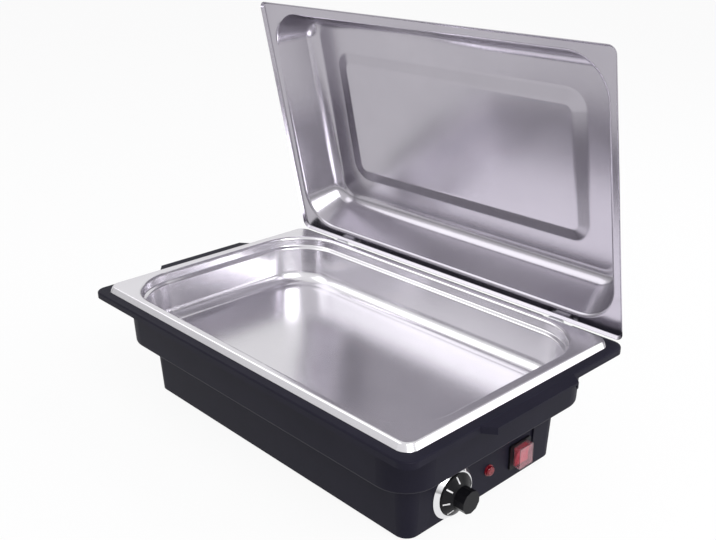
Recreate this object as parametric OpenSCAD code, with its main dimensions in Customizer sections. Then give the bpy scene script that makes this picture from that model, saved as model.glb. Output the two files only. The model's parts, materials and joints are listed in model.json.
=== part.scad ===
// Electric chafing dish: a moulded base with a water bath, a full-size food pan and a hinged steel lid.
// Millimetres. The origin is the middle of the plane that the feet stand on.
// +Z is up, +X points out of the control end and +Y points to the hinge side.
// The lid is drawn open, as it is held by its hinges.

/* [Base] */
// Length of the flange, without the end grips
flange_l = 553; // [546:1:575]
// Width of the flange
flange_w = 348; // [344:1:368]
// Height of the flange's top above the table
flange_top = 144; // [141:1:165]
// Corner radius of the flange
flange_r = 15; // [11:1:20]
// Depth of the flange's outer lip
lip_h = 8; // [7:0.5:11]
// Wall of the mouldings
wall = 2.6; // [2.2:0.1:3]
// Length of the upper tub, under the flange
tub_l = 508; // [506:1:514]
// Width of the upper tub, under the flange
tub_w = 304; // [303:1:310]
// Corner radius of the upper tub
tub_r = 42; // [38:1:46]
// Inward lean of the tub's wall from top to bottom
tub_draft = 2; // [1:0.5:2.5]
// Height of the upper tub below the flange's top
step_h = 65.5; // [62:0.5:68]
// Length of the lower housing at its top
low_l = 460; // [454:1:464]
// Width of the lower housing at its top
low_w = 249; // [246:1:254]
// Corner radius of the lower housing
low_r = 19; // [18:1:22]
// Inward lean of the lower housing's wall
low_draft = 4; // [3:0.5:4.5]
// Height of the body's lower edge above the table
foot_h = 7; // [6:0.5:10]
// How far the end grips reach out of the flange
grip_out = 13; // [10:1:20]
// Length of an end grip at the flange
grip_l = 150; // [120:2:190]

/* [Pans] */
// Length of the food pan over its rim
pan_l = 530; // [526:1:532]
// Width of the food pan over its rim
pan_w = 325; // [322:1:327]
// Depth of the food pan
pan_depth = 65; // [60:1:66]
// Height of the food pan's rim above the flange
rim_h = 7.5; // [7:0.5:10]
// Corner radius of the rim
rim_r = 15; // [12:1:18]
// Width of the rim's flat and edge at the short sides
rim_x = 13; // [12.5:0.5:16]
// Width of the rim's flat and edge at the long sides
rim_y = 9; // [8.5:0.5:10]
// Corner radius of the food pan's mouth
mouth_r = 70; // [60:1:80]
// Thickness of the steel sheet
sheet = 0.8; // [0.6:0.1:1]
// Depth of the water bath's basin below the tub's step
basin_h = 25; // [20:1:28]
// Length of the basin
basin_l = 410; // [380:2:416]
// Width of the basin
basin_w = 202; // [190:2:206]

/* [Lid] */
// Length of the lid
lid_l = 544; // [539:1:546]
// Width of the lid
lid_w = 338; // [335:1:340]
// Corner radius of the lid's hem
lid_r = 10; // [8:1:14]
// Depth of the lid's turned hem
hem_h = 4; // [3.5:0.5:7.5]
// Height of the dome above the lid's flange
dome_h = 52; // [46:1:60]
// Width of the lid's flange at the short sides
brim_x = 10; // [8.5:0.5:14]
// Width of the lid's flange at the long sides
brim_y = 10.5; // [9:0.5:12]
// Corner radius of the dome's mouth
dome_r = 52; // [50:1:58]
// Lean of the dome's walls
dome_lean = 22; // [14:1:24]
// Length of the pressed panel
panel_l = 398; // [380:2:412]
// Width of the pressed panel
panel_w = 192; // [180:2:200]
// Depth of the pressed panel
panel_depth = 4; // [3:0.5:5]
// Angle from closed at which the lid stands
lid_open = 78.5; // [60:0.5:90]
// Length of the lid's grip
handle_l = 112; // [90:1:140]
// Height of the lid's grip above the panel
handle_h = 46; // [42:1:52]

/* [Hinges] */
// Distance of each hinge from the middle
hinge_x = 185; // [120:5:190]
// Diameter of the hinge pins
pin_d = 3; // [2.5:0.1:3.4]
// Diameter of the hinge knuckles
knuckle_d = 6.4; // [6:0.1:6.8]
// Length of the lid's knuckle
knuckle_l = 14; // [10:1:18]
// Thickness of the hinge plates
plate_t = 1.5; // [1:0.1:1.6]

/* [Controls] */
// Place of the dial along the control end
dial_y = -54; // [-56:1:-46]
// Height of the dial's middle above the table
dial_z = 35.5; // [35:0.5:40]
// Diameter of the dial's ring
dial_d = 59; // [54:1:60]
// Diameter of the knob
knob_d = 26; // [22:1:28]
// Reach of the knob out of the panel
knob_reach = 26.5; // [22:0.5:32]
// Diameter of the thermostat's shaft
shaft_d = 6; // [5:0.5:6.5]
// Place of the lamp along the control end
lamp_y = 5; // [-4:1:10]
// Height of the lamp above the table
lamp_z = 34.5; // [34:0.5:44]
// Diameter of the lamp's lens
lamp_d = 11.6; // [9:0.2:12]
// Place of the switch along the control end
switch_y = 57; // [50:1:58]
// Height of the switch above the table
switch_z = 34; // [33:0.5:40]
// Width of the switch's frame
switch_w = 36; // [32:0.5:38]
// Height of the switch's frame
switch_h = 30; // [28:0.5:32]
// Rocker's tilt to each side
rocker_tilt = 9; // [6:0.5:10]

/* [Heating] */
// Diameter of the heating tube
tube_d = 8; // [6.5:0.5:8.5]
// Spacing of the heating tube's legs
leg_gap = 40; // [36:1:42]
// Length of the heating tube's long legs
leg_l = 240; // [200:5:260]

/* [Hidden] */
$fn = 72;
// Largest turn of one facet in a bend, in degrees
bend_step = 7.5;
// Gap between pieces that pass or sit near each other
gap = 0.3;
// Radial play of a pin or shaft in its hole
play = 0.03;
// Small overlap that joins the solids of one piece
joinery = 1;
lap = joinery/2;

// Heights of the base
step_z = flange_top - step_h;
lip_z = flange_top - lip_h;
deck_t = 3;
tub_edge = 4;
flare = 3.5;
grip_bevel = 10;
grip_drop = 0.5;
flare_h = 13;
collar_h = 8;
collar_in = 0.5;
flange_round = 2;
flange_lap = 5;
rib_pitch = 60;
rib_side = 2;
rib_t = 2;
rib_lift = 1.5;
rib_drop = 3;
tub_cx = tub_l/2 - tub_r;
tub_cy = tub_w/2 - tub_r;
shelf_in = 12;
shelf_r = tub_r - tub_draft - shelf_in;
low_cx = low_l/2 - low_r;
low_cy = low_w/2 - low_r;
low_lean = atan(low_draft/(step_z - foot_h));
function low_in(z) = low_draft*(step_z - z)/(step_z - foot_h);

// Control panel, upright in the leaning end wall
panel_x = low_l/2 - low_draft;
recess_side = 4.5;
recess_y0 = dial_y - dial_d/2 - recess_side;
recess_y1 = switch_y + switch_w/2 + recess_side;
recess_top = 5;
backing_in = 0.5;

// Bottom cover and feet
cover_t = 2.4;
cover_in = 1;
cover_z = foot_h + cover_in;
cover_top = cover_z + cover_t;
cover_r = low_r - low_draft - wall - gap;
screw_x = 170;
boss_r = 5;
boss_sink = 1.5;
boss_y = low_cy + low_r - low_draft - wall - boss_r + boss_sink;
boss_h = 20;
boss_roof = 4;
screw_r = 1.5;
screw_play = 0.1;
head_r = 3;
head_h = 2.2;
// Cross slot: width, and its length and depth as shares of the head
cross_w = 0.8;
cross_l = 0.6;
cross_h = 0.45;
cover_screw_l = 14;
foot_screw_l = 11;
foot_screw_z = 3.5;
foot_head_r = 3.4;
shield_screw_l = 10;
foot_in_x = 45;
foot_in_y = 40;
foot_x = low_l/2 - foot_in_x;
foot_y = low_w/2 - foot_in_y;
foot_r = 10;
foot_rim = 2;
foot_lean = 1.5;
foot_bore_r = 5;
foot_boss_h = 9;
post_x = 150;
post_y = 78;
post_r = 4.5;
vent_side = 4;
vent_pitch = 14;
vent_y = 40;
vent_w = 4;
vent_l = 36;

// Food pan
rim_top = flange_top + rim_h;
rim_cx = pan_l/2 - rim_r;
rim_cy = pan_w/2 - rim_r;
rim_edge = 5;
rim_lap = 2;
rim_bend = 4;
mouth_a = pan_l/2 - rim_x;
mouth_b = pan_w/2 - rim_y;
mouth_cx = mouth_a - mouth_r;
mouth_cy = mouth_b - mouth_r;
pan_lean = 4;
pan_foot_r = 18;
shoulder_turn = 50;
shoulder_run = 2.5;
shoulder_r = 3;
band_h = 7;

// Water bath
bath_gap = 0.5;
bath_r = tub_r - wall - bath_gap;
bath_edge = 3;
bath_step = step_z + wall + gap;
basin_r = 30;
basin_draft = 3;
basin_edge = 6;
basin_cx = basin_l/2 - basin_r;
basin_cy = basin_w/2 - basin_r;
basin_z = bath_step - basin_h;

// Heating
spreader_t = 1.5;
spreader_l = 300;
spreader_w = 150;
spreader_r = 12;
inner_leg_l = 0.8*leg_l;
cold_pin_d = 3.6;
cold_pin_l = 26;
tube_z = basin_z - spreader_t - tube_d/2;
clamp_x = [-60, 50];
clamp_y = leg_gap;
stud_r = 2;
stud_out = 2;
clamp_t = 1.5;
clamp_w = 16;
clamp_z = tube_z - tube_d/2 - clamp_t;
nut_h = 3.2;
nut_d = 8;
nut_play = 0.05;
shield_gap = 6;
shield_z = clamp_z - nut_h - shield_gap;
shield_t = 1;
shield_side = 12;
shield_r = 8;
cutout_r = 7.5;
cutout_h = 9;
cutout_tab_x = 4;
cutout_tab_l = 6;
cutout_ear_l = 24;
cutout_ear_w = 8;
cutout_ear_t = 1;

// Lid, measured shut
lid_gap = 0.4;
lid_mid = rim_top + lid_gap + sheet/2;
hem_bend = 2;
hem_lap = 2;
lid_flat_in = 4;
hem_z = lid_mid - hem_h;
lid_cx = lid_l/2 - lid_r;
lid_cy = lid_w/2 - lid_r;
dome_a = lid_l/2 - brim_x;
dome_b = lid_w/2 - brim_y;
dome_cx = dome_a - dome_r;
dome_cy = dome_b - dome_r;
brim_bend = 5;
crown_bend = 20;
dome_turn = 90 - dome_lean;
dome_run = (dome_h - (brim_bend + crown_bend)*(1 - cos(dome_turn)))/cos(dome_lean);
crown_r = dome_r - (brim_bend + crown_bend)*sin(dome_turn) - dome_run*sin(dome_lean);
step_turn = 14;
step_bend = 20;
step_run = (panel_depth - 2*step_bend*(1 - cos(step_turn)))/sin(step_turn);
step_in = 2*step_bend*sin(step_turn) + step_run*cos(step_turn);
panel_r = 28;
panel_cx = panel_l/2 - panel_r;
panel_cy = panel_w/2 - panel_r;
inner_r = panel_r - step_in - lap;
panel_out = lid_mid + dome_h - panel_depth + sheet/2;

// Hinges
axis_out = 0.5;
axis_up = 0.6;
axis_y = lid_w/2 + axis_out;
axis_z = flange_top + axis_up;
ear_t = plate_t;
bracket_tab = 11;
bracket_l = 2*(knuckle_l/2 + gap + ear_t + bracket_tab);
pocket_side = 1.5;
pocket_h = 6;
pocket_back = 1.2;
pocket_l = bracket_l + 2*pocket_side;
pocket_z = flange_top - pocket_h;
pocket_y = axis_y - knuckle_d/2 - pocket_back;
hinge_screw_in = 4.5;
hinge_screw_x = bracket_l/2 - hinge_screw_in;
hinge_block_h = 15;
hinge_block_side = 2;
hinge_screw_l = 7;
hinge_head_r = 2.8;
hinge_head_h = 1.8;
notch_side = 3.5;
notch_in = 4;
notch_room = 0.8;
notch_l = knuckle_l + 2*(gap + ear_t + notch_side);
pin_head = 1;
leaf_t = 1.2;
leaf_tab = 7;

// Handle
handle_d = 20;
handle_wide = 2;
handle_round = 2;
handle_gap = 0.2;
handle_screw_l = 12;
handle_head_r = 3.4;
handle_head_h = 2.4;
bracket_t = 2;
bracket_w = 22;
bracket_foot = 26;
bracket_bend = 2.2;
bracket_short = 2;
bracket_play = 0.5;

// Dial and thermostat
dial_h = 5.5;
dial_ledge = 2.8;
dial_face_t = 1.5;
face_play = 0.1;
face_room = 1.2;
ring_w = 5.5;
ring_in = 2.5;
ring_edge = 1.2;
ring_top = 1.4;
dial_in_r = dial_d/2 - ring_w;
skirt_gap = 0.6;
skirt_r = dial_in_r - skirt_gap;
skirt_edge = 2;
skirt_h = 6.5;
skirt_slope = atan(skirt_h/(skirt_r - knob_d/2));
mark_t = 0.2;
mark_l = 8;
mark_w = 1.6;
mark_in = 1;
mark_count = 7;
mark_first = 5;
mark_pitch = 45;
knob_sides = 10;
knob_roof = 6;
flat_start = 3;
flat_in = 1.5;
flat_play = 0.2;
shaft_room = 1.5;
thermo_w = 36;
thermo_h = 30;
thermo_t = 24;
thermo_pitch = 28;
thermo_screw_r = 2;
thermo_screw_l = 9;
thermo_head_r = 3.5;
shaft_sink = 13;
tab_l = 9;
tab_w = 6;
tab_t = 0.8;
tab_y = 9;
bulb_d = 6;
bulb_l = 80;
capillary_d = 1.6;
capillary_r = 3;
capillary_side = 9;
capillary_back = 12;
capillary_rise = 8;

// Lamp
lens_h = 4.4;
lens_round = 2;
lens_turn = 80;
lens_collar = 1;
lens_neck = 1.2;
lamp_in = 0.4;
lamp_body_r = lamp_d/2 - lamp_in;
lamp_deep = 18;
lamp_tab_l = 7;
lamp_tab_w = 2;
lamp_tab_t = 0.6;
lamp_tab_y = 2;
lamp_nut_h = 3.5;
lamp_nut_w = 3;

// Switch
switch_in_w = 28;
switch_in_h = 24;
switch_deep = 20;
rocker_w = 21;
rocker_h = 19;
rocker_room = 1.4;
rocker_bevel = 4;
rocker_keel = 5;
rocker_shoulder = 1;
rocker_edge = 8.4;
rocker_mid = 6.8;
rocker_dish = 1.3;
dish_steps = 4;
well_h = 10;
pivot_out = -2;
pivot_r = 1.5;
pivot_side = 2;
switch_tab_x = 6;
switch_tab_y = 7;
switch_tab_l = 8;
cover_w = 23.5;
cover_h = 26;
cover_out = 11;
cover_wall = 1;
cover_corner = 2;
bezel_t = 2.5;
bezel_r = 2.5;

// Cord entry at the back
gland_x = 110;
gland_z = 34;
gland_r = 6;
gland_in = 10;
gland_hex = 18;
gland_hex_h = 4;
gland_cap_r = 8;
gland_cap_h = 8;
gland_nut_h = 5;
cord_r = 3.6;
block_y = 62;
block_l = 40;
block_w = 18;
block_h = 15;
block_pitch = 12;
block_screw_d = 5;
block_screw_z = 8;
wire_d = 4;
wire_drop = 3;

// Points along an arc about c
function arc(c, r, a0, a1) =
  let (n = max(2, ceil(abs(a1 - a0)/bend_step)))
  [for (k = [0:n]) let (a = a0 + (a1 - a0)*k/n) c + r*[cos(a), sin(a)]];

// Stations [x, y, heading] along a strip; each step is [run, turn, bend radius]
function stations(steps, x, y, a, i = 0) =
  i == len(steps) ? [[x, y, a]] :
  let (
    run = steps[i][0], turn = steps[i][1], r = steps[i][2], s = sign(turn),
    x1 = x + run*cos(a), y1 = y + run*sin(a),
    cx = x1 - s*r*sin(a), cy = y1 + s*r*cos(a),
    n = max(1, ceil(abs(turn)/bend_step)), b = a + turn
  )
  concat(
    run > 0 ? [[x, y, a]] : [],
    turn == 0 ? [] : [for (k = [0:n - 1]) let (h = a + turn*k/n) [cx + s*r*sin(h), cy - s*r*cos(h), h]],
    stations(steps, turn == 0 ? x1 : cx + s*r*sin(b), turn == 0 ? y1 : cy - s*r*cos(b), b, i + 1)
  );

// Section of a bent sheet that starts at (x, y) with a heading
module strip(steps, x, y, heading, t = sheet) {
  s = stations(steps, x, y, heading);
  n = len(s);
  left = [for (p = s) [p[0] - t/2*sin(p[2]), p[1] + t/2*cos(p[2])]];
  right = [for (k = [1:n]) let (p = s[n - k]) [p[0] + t/2*sin(p[2]), p[1] - t/2*cos(p[2])]];
  polygon(concat(left, right));
}

// Carries a section round a rectangle with half sides cx and cy; the section's x counts out from it
module round_sweep(cx, cy) {
  for (q = [[1, 1, 0], [-1, 1, 90], [-1, -1, 180], [1, -1, 270]])
    translate([q[0]*cx, q[1]*cy, 0]) rotate(q[2]) rotate_extrude(angle = 90) children();
  for (k = [0, 180]) rotate(k) {
    translate([cx, cy, 0]) rotate([90, 0, 0]) linear_extrude(2*cy) children();
    translate([-cx, cy, 0]) rotate([90, 0, 90]) linear_extrude(2*cx) children();
  }
}

// Rectangle with half sides a and b and corner radius r
module rounded(a, b, r) {
  square([2*a, 2*(b - r)], center = true);
  square([2*(a - r), 2*b], center = true);
  for (x = [-1, 1], y = [-1, 1]) translate([x*(a - r), y*(b - r)]) circle(r = r);
}

module plate(a, b, r, z, t) translate([0, 0, z]) linear_extrude(t) rounded(a, b, r);

// Places: out of the control panel, out of the rear wall, and the open lid
module on_panel(y, z) translate([panel_x, y, z]) rotate([0, 90, 0]) children();
module on_rear(x, z) translate([x, low_w/2 - low_in(z), z]) rotate([-90 - low_lean, 0, 0]) children();
module opened() translate([0, axis_y, axis_z]) rotate([-lid_open, 0, 0])
  translate([0, -axis_y, -axis_z]) children();
module each_corner(x, y) for (i = [-1, 1], j = [-1, 1]) translate([i*x, j*y, 0]) children();
module along_x(l) rotate([0, 90, 0]) translate([0, 0, -l/2]) linear_extrude(l) children();

// Screw with its head's seat at z = 0 and its shank pointing up
module screw(r, l, top_r = head_r, top_h = head_h) {
  cylinder(r = r, h = l);
  translate([0, 0, -top_h]) difference() {
    cylinder(r = top_r, h = top_h);
    for (a = [0, 90]) rotate(a) translate([-cross_l*top_r, -cross_w/2, -joinery])
      cube([2*cross_l*top_r, cross_w, joinery + cross_h*top_h]);
  }
}

// Base: flange, grips, tub, step and housing in one moulding
module flange_edge() {
  deck_in = flange_lap - joinery;
  translate([0, 0, flange_top - deck_t]) linear_extrude(deck_t) difference() {
    rounded(flange_l/2 - deck_in, flange_w/2 - deck_in, flange_r - deck_in);
    rounded(tub_cx + tub_r - wall + flare, tub_cy + tub_r - wall + flare, tub_r - wall + flare);
  }
  round_sweep(flange_l/2 - flange_r, flange_w/2 - flange_r) polygon(concat(
    [[flange_r - flange_lap, flange_top - deck_t], [flange_r - wall, flange_top - deck_t]],
    [[flange_r - wall, lip_z], [flange_r, lip_z]],
    arc([flange_r - flange_round, flange_top - flange_round], flange_round, 0, 90),
    [[flange_r - flange_lap, flange_top]]
  ));
}

module grip_outline(inset) {
  half = grip_l/2 - inset;
  reach = flange_l/2 + grip_out - inset;
  polygon([
    [flange_l/2 - wall, -half], [flange_l/2, -half], [reach, -half + grip_bevel],
    [reach, half - grip_bevel], [flange_l/2, half], [flange_l/2 - wall, half]
  ]);
}

module end_grips() for (k = [0, 180]) rotate(k) difference() {
  translate([0, 0, lip_z]) linear_extrude(lip_h - grip_drop) grip_outline(0);
  translate([wall, 0, lip_z - joinery])
    linear_extrude(lip_h - grip_drop - deck_t + joinery) grip_outline(wall);
}

module tub() {
  rb = tub_r - tub_draft;
  c = [rb - tub_edge, step_z + tub_edge];
  round_sweep(tub_cx, tub_cy) polygon(concat(
    [[tub_r - wall + flare, flange_top], [tub_r - wall + flare, flange_top - collar_h + collar_in]],
    [[tub_r - wall, flange_top - flare_h]],
    arc(c, tub_edge - wall, 0, -90),
    [[shelf_r, step_z + wall], [shelf_r, step_z]],
    arc(c, tub_edge, -90, 0),
    [[tub_r, flange_top - flare_h], [tub_r + flare, flange_top - collar_h], [tub_r + flare, flange_top]]
  ));
  translate([0, 0, step_z]) linear_extrude(wall) difference() {
    rounded(tub_cx + shelf_r + joinery, tub_cy + shelf_r + joinery, shelf_r + joinery);
    rounded(low_cx + low_r - wall, low_cy + low_r - wall, low_r - wall);
  }
}

module housing() {
  round_sweep(low_cx, low_cy) polygon([
    [low_r - wall, step_z + wall], [low_r - wall, step_z], [low_r - low_draft - wall, foot_h],
    [low_r - low_draft, foot_h], [low_r, step_z], [low_r, step_z + wall]
  ]);
  // Backing of the upright control panel
  translate([0, recess_y1 + wall, 0]) rotate([90, 0, 0]) linear_extrude(recess_y1 - recess_y0 + 2*wall)
    polygon([
      [panel_x - wall, foot_h], [panel_x - backing_in, foot_h],
      [low_l/2 - backing_in, step_z], [panel_x - wall, step_z]
    ]);
}

module cover_bosses() for (x = [-screw_x, 0, screw_x], s = [-1, 1]) {
  translate([x, s*boss_y, cover_top]) cylinder(r = boss_r, h = boss_h);
}

module hinge_blocks() for (s = [-1, 1])
  translate([s*hinge_x - pocket_l/2 - hinge_block_side, tub_cy + tub_r + joinery, flange_top - hinge_block_h])
    cube([pocket_l + 2*hinge_block_side, flange_w/2 - tub_cy - tub_r - 2*joinery, hinge_block_h - joinery]);

module flange_ribs() {
  out_y = -flange_w/2 + wall - lap;
  in_y = -tub_cy - tub_r - flare + joinery;
  for (x = [-rib_side:rib_side], k = [0, 180]) rotate(k) translate([x*rib_pitch + rib_t/2, 0, 0])
    rotate([90, 0, -90]) linear_extrude(rib_t) polygon([
      [out_y, flange_top - joinery], [out_y, lip_z + rib_lift],
      [in_y, flange_top - collar_h - rib_drop], [in_y, flange_top - joinery]
    ]);
}

// Hole through the wall at z = 0, which lies below that height
module wall_hole(r) translate([0, 0, -wall - joinery]) cylinder(r = r, h = wall + 2*joinery);

module base_cuts() {
  translate([panel_x, recess_y0, foot_h - joinery])
    cube([low_draft + 2*joinery, recess_y1 - recess_y0, step_z - recess_top - foot_h + joinery]);
  on_panel(dial_y, dial_z) wall_hole(shaft_d/2 + shaft_room);
  for (s = [-1, 1]) on_panel(dial_y + s*thermo_pitch/2, dial_z) wall_hole(thermo_screw_r + screw_play);
  on_panel(lamp_y, lamp_z) wall_hole(lamp_body_r + screw_play);
  on_panel(switch_y, switch_z) translate([0, 0, -wall/2])
    cube([switch_in_h + gap, switch_in_w + gap, wall + 2*joinery], center = true);
  on_rear(gland_x, gland_z) wall_hole(gland_r + screw_play);
  for (x = [-screw_x, 0, screw_x], s = [-1, 1]) translate([x, s*boss_y, cover_top - joinery])
    cylinder(r = screw_r + screw_play, h = boss_h - boss_roof + joinery);
  for (s = [-1, 1]) translate([s*hinge_x, 0, 0]) {
    translate([-pocket_l/2, pocket_y, pocket_z])
      cube([pocket_l, flange_w/2 - pocket_y + joinery, flange_top]);
    for (i = [-1, 1]) translate([i*hinge_screw_x, axis_y, pocket_z - hinge_screw_l])
      cylinder(r = screw_r + screw_play, h = hinge_screw_l + joinery);
  }
}

module base_shell() color([0.15, 0.14, 0.17]) difference() {
  union() {
    flange_edge();
    end_grips();
    tub();
    housing();
    cover_bosses();
    hinge_blocks();
    flange_ribs();
  }
  base_cuts();
}

module bottom_cover() color([0.13, 0.13, 0.15]) difference() {
  union() {
    plate(low_cx + cover_r, low_cy + cover_r, cover_r, cover_z, cover_t);
    each_corner(foot_x, foot_y) translate([0, 0, cover_top - lap])
      cylinder(r = boss_r, h = foot_boss_h + lap);
    each_corner(post_x, post_y) translate([0, 0, cover_top - lap])
      cylinder(r = post_r, h = shield_z - cover_top + lap);
  }
  for (x = [-screw_x, 0, screw_x], s = [-1, 1]) translate([x, s*boss_y, cover_z - joinery])
    cylinder(r = screw_r + screw_play, h = cover_t + 2*joinery);
  each_corner(foot_x, foot_y) translate([0, 0, cover_z - joinery])
    cylinder(r = screw_r + screw_play, h = foot_screw_z + foot_screw_l - cover_z + 2*joinery);
  each_corner(post_x, post_y) translate([0, 0, shield_z - shield_screw_l - 2*joinery])
    cylinder(r = screw_r + screw_play, h = shield_screw_l + 3*joinery);
  for (k = [-vent_side:vent_side], s = [-1, 1]) translate([k*vent_pitch, s*vent_y, cover_z - joinery])
    linear_extrude(cover_t + 2*joinery) {
      square([vent_w, vent_l], center = true);
      for (e = [-1, 1]) translate([0, e*vent_l/2]) circle(d = vent_w);
    }
}

module cover_screws() color("gray") for (x = [-screw_x, 0, screw_x], s = [-1, 1])
  translate([x, s*boss_y, cover_z]) screw(screw_r, cover_screw_l);

module feet() color([0.08, 0.08, 0.08]) each_corner(foot_x, foot_y) rotate_extrude() polygon([
  [screw_r + gap, cover_z], [foot_r, cover_z], [foot_r, cover_z - foot_rim], [foot_r - foot_lean, 0],
  [foot_bore_r, 0], [foot_bore_r, foot_screw_z], [screw_r + gap, foot_screw_z]
]);

module foot_screws() color("gray") each_corner(foot_x, foot_y) translate([0, 0, foot_screw_z])
  screw(screw_r, foot_screw_l, foot_head_r);

// Steel bath that holds the water under the food pan
module water_pan() color([0.72, 0.72, 0.74]) {
  top_r = tub_r - wall + flare - bath_gap;
  edge_c = [bath_r - tub_draft - bath_edge, bath_step + bath_gap + bath_edge];
  edge_r = bath_edge;
  translate([0, 0, flange_top]) linear_extrude(sheet) difference() {
    rounded(rim_cx + rim_r - rim_edge, rim_cy + rim_r - rim_edge, rim_r - rim_edge);
    rounded(tub_cx + top_r + joinery, tub_cy + top_r + joinery, top_r + joinery);
  }
  round_sweep(tub_cx, tub_cy) polygon(concat(
    [[top_r + 2*joinery, flange_top + sheet], [top_r + 2*joinery, flange_top]],
    [[top_r, flange_top], [top_r, flange_top - collar_h + collar_in - bath_gap/2]],
    [[bath_r, flange_top - flare_h]],
    arc(edge_c, edge_r, 0, -90),
    [[shelf_r, edge_c[1] - edge_r], [shelf_r, edge_c[1] - edge_r + sheet]],
    arc(edge_c, edge_r - sheet, -90, 0),
    [[bath_r - sheet, flange_top - flare_h], [top_r - sheet, flange_top - collar_h + collar_in - bath_gap/2]],
    [[top_r - sheet, flange_top + sheet]]
  ));
  translate([0, 0, edge_c[1] - edge_r]) linear_extrude(sheet) difference() {
    rounded(tub_cx + shelf_r + joinery, tub_cy + shelf_r + joinery, shelf_r + joinery);
    rounded(basin_cx + basin_r - sheet, basin_cy + basin_r - sheet, basin_r - sheet);
  }
  foot_c = [basin_r - basin_draft - basin_edge, basin_z + basin_edge];
  foot_in = foot_c[0] - 2*joinery;
  round_sweep(basin_cx, basin_cy) polygon(concat(
    [[basin_r, edge_c[1] - edge_r + sheet], [basin_r, edge_c[1] - edge_r]],
    arc(foot_c, basin_edge, 0, -90),
    [[foot_in, basin_z], [foot_in, basin_z + sheet]],
    arc(foot_c, basin_edge - sheet, -90, 0),
    [[basin_r - sheet, edge_c[1] - edge_r], [basin_r - sheet, edge_c[1] - edge_r + sheet]]
  ));
  plate(basin_cx + foot_in + joinery, basin_cy + foot_in + joinery, foot_in + joinery, basin_z, sheet);
}

// Food pan with a rolled rim and a stacking shoulder
pan_mid = rim_top - sheet/2;
lower_turn = 90 - pan_lean;
pan_drop = pan_depth - sheet - rim_bend*sin(lower_turn) - band_h*cos(pan_lean)
  - 2*shoulder_r*(sin(shoulder_turn + pan_lean) - sin(pan_lean)) - shoulder_run*cos(shoulder_turn + pan_lean)
  - pan_foot_r*(1 - sin(pan_lean));
pan_run = pan_drop/cos(pan_lean);
pan_steps = [
  [joinery, lower_turn, rim_bend], [band_h, -shoulder_turn, shoulder_r],
  [shoulder_run, shoulder_turn, shoulder_r], [pan_run, -lower_turn, pan_foot_r], [2*joinery, 0, 0]
];
pan_end = let (s = stations(pan_steps, mouth_r + joinery, pan_mid, 180)) s[len(s) - 1];
module food_pan() color([0.78, 0.78, 0.8]) {
  flat_r = rim_r - rim_edge - rim_lap + lap;
  floor_r = pan_end[0] + joinery;
  translate([0, 0, rim_top - sheet]) linear_extrude(sheet) difference() {
    rounded(rim_cx + flat_r, rim_cy + flat_r, flat_r);
    rounded(mouth_a + lap, mouth_b + lap, mouth_r + lap);
  }
  round_sweep(rim_cx, rim_cy) strip(
    [[rim_lap, -90, rim_edge - sheet/2], [rim_h - rim_edge, 0, 0]], rim_r - rim_edge - rim_lap, pan_mid, 0);
  round_sweep(mouth_cx, mouth_cy) strip(pan_steps, mouth_r + joinery, pan_mid, 180);
  plate(mouth_cx + floor_r, mouth_cy + floor_r, floor_r, pan_end[1] - sheet/2, sheet);
}

// Heating under the basin
module heat_spreader() color([0.8, 0.8, 0.82]) difference() {
  plate(spreader_l/2, spreader_w/2, spreader_r, basin_z - spreader_t, spreader_t);
  for (x = clamp_x, s = [-1, 1]) translate([x, s*clamp_y, basin_z - spreader_t - joinery])
    cylinder(r = stud_r + gap, h = spreader_t + 2*joinery);
}

module heating_element() color([0.55, 0.52, 0.5]) translate([0, 0, tube_z]) {
  half = leg_gap/2;
  far = -leg_l/2;
  near = far + inner_leg_l;
  for (s = [-1, 1]) {
    translate([far, s*1.5*leg_gap, 0]) rotate([0, 90, 0]) cylinder(d = tube_d, h = leg_l);
    translate([far + leg_l - joinery, s*1.5*leg_gap, 0]) rotate([0, 90, 0])
      cylinder(d = cold_pin_d, h = cold_pin_l);
    translate([far, s*half, 0]) rotate([0, 90, 0]) cylinder(d = tube_d, h = near - far);
    translate([far, s*leg_gap, 0]) rotate(90)
      rotate_extrude(angle = 180) translate([half, 0]) circle(d = tube_d);
  }
  translate([near, 0, 0]) rotate(-90) rotate_extrude(angle = 180) translate([half, 0]) circle(d = tube_d);
}

module weld_studs() color("silver") for (x = clamp_x, s = [-1, 1])
  translate([x, s*clamp_y, clamp_z - nut_h - stud_out])
    cylinder(r = stud_r, h = basin_z - clamp_z + nut_h + stud_out);

module element_clamps() color("silver") for (x = clamp_x) difference() {
  translate([x - clamp_w/2, -1.5*leg_gap - clamp_w/2, clamp_z]) cube([clamp_w, 3*leg_gap + clamp_w, clamp_t]);
  for (s = [-1, 1]) translate([x, s*clamp_y, clamp_z - joinery])
    cylinder(r = stud_r + gap, h = clamp_t + 2*joinery);
}

module clamp_nuts() color("gray") for (x = clamp_x, s = [-1, 1]) translate([x, s*clamp_y, clamp_z - nut_h])
  difference() {
    cylinder(d = nut_d, h = nut_h, $fn = 6);
    translate([0, 0, -joinery]) cylinder(r = stud_r + nut_play, h = nut_h + 2*joinery);
  }

module thermal_cutout() color([0.9, 0.88, 0.82]) translate([0, 0, basin_z - spreader_t - cutout_h]) {
  cylinder(r = cutout_r, h = cutout_h);
  for (s = [-1, 1]) translate([s*cutout_tab_x - tab_t/2, -tab_w/2, -cutout_tab_l])
    cube([tab_t, tab_w, cutout_tab_l + joinery]);
  translate([-cutout_ear_l/2, -cutout_ear_w/2, cutout_h - cutout_ear_t])
    cube([cutout_ear_l, cutout_ear_w, cutout_ear_t]);
}

module heat_shield() color([0.75, 0.75, 0.77]) difference() {
  plate(post_x + shield_side, post_y + shield_side, shield_r, shield_z, shield_t);
  each_corner(post_x, post_y) translate([0, 0, shield_z - joinery])
    cylinder(r = screw_r + gap, h = shield_t + 2*joinery);
}

module shield_screws() color("gray") each_corner(post_x, post_y) translate([0, 0, shield_z + shield_t])
  mirror([0, 0, 1]) screw(screw_r, shield_screw_l);

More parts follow.
